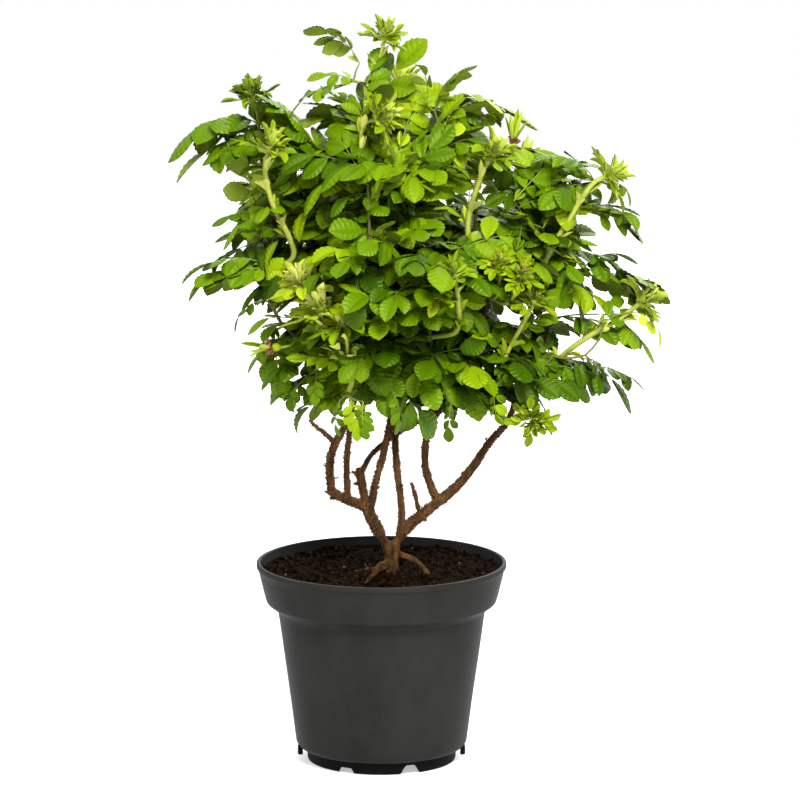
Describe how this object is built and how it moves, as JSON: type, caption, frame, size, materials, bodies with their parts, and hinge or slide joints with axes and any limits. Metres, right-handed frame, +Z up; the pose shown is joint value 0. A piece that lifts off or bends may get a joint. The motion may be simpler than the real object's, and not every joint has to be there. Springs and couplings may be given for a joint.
{
  "type": "rose bush in a nursery pot",
  "caption": "Leafy rose bush on bristly woody stems, growing from potting mix in a round nursery pot that stands on a flat base.",
  "frame": {"origin": "centre of the pot's underside, on the surface that it stands on", "axes": "+Z up, +X to the plant's right as seen from its front, -Y towards its front"},
  "size_m": [0.455, 0.332, 0.674],
  "materials": {
    "pot_plastic": "matt moulded plastic, faintly mottled",
    "potting_mix": "moist crumbly peat and bark",
    "bark": "rough ridged bark with bristles",
    "root_bark": "rough bark with soil on it",
    "green_stem": "olive bark with dense bristles",
    "dead_wood": "dry grey-brown wood",
    "leaves": "wrinkled leaves with a soft sheen",
    "young_leaves": "soft young growth"
  },
  "bodies": {
    "root": {"nursery_pot": "pot_plastic", "potting_mix": "potting_mix", "root_crown": "bark", "exposed_root_front": "root_bark", "exposed_root_left": "root_bark", "exposed_root_right": "root_bark", "exposed_root_back": "root_bark", "stem_left_lower": "bark", "bough_left_side": "bark", "bough_left_rise": "bark", "dead_twig_left": "dead_wood", "bristly_stem": "green_stem", "snag_left": "green_stem", "crossing_branch": "bark", "stem_left_inner": "bark", "stem_centre": "green_stem", "stem_right_lower": "bark", "stem_right_upper": "bark", "dead_twig_right": "dead_wood", "bough_right_upright": "bark", "bough_right_inner": "bark", "bough_right_fork": "bark", "foliage_core": "leaves", "foliage_centre_top": "leaves", "foliage_centre_front": "leaves", "foliage_centre_low": "leaves", "foliage_left_middle": "leaves", "foliage_left_upper": "leaves", "foliage_left_low": "leaves", "foliage_upper_left": "leaves", "foliage_left_tip": "leaves", "foliage_top_left": "leaves", "foliage_top": "young_leaves", "foliage_upper_right": "leaves", "foliage_right_upper": "leaves", "foliage_right_middle": "leaves", "foliage_right_shoulder": "leaves", "foliage_right_tip": "leaves", "foliage_right_outer": "leaves", "foliage_right_low": "leaves", "foliage_right_tail": "leaves", "foliage_back_left": "leaves", "foliage_back_right": "leaves", "foliage_back_top": "leaves", "foliage_back_low": "leaves"}
  },
  "joints": []
}
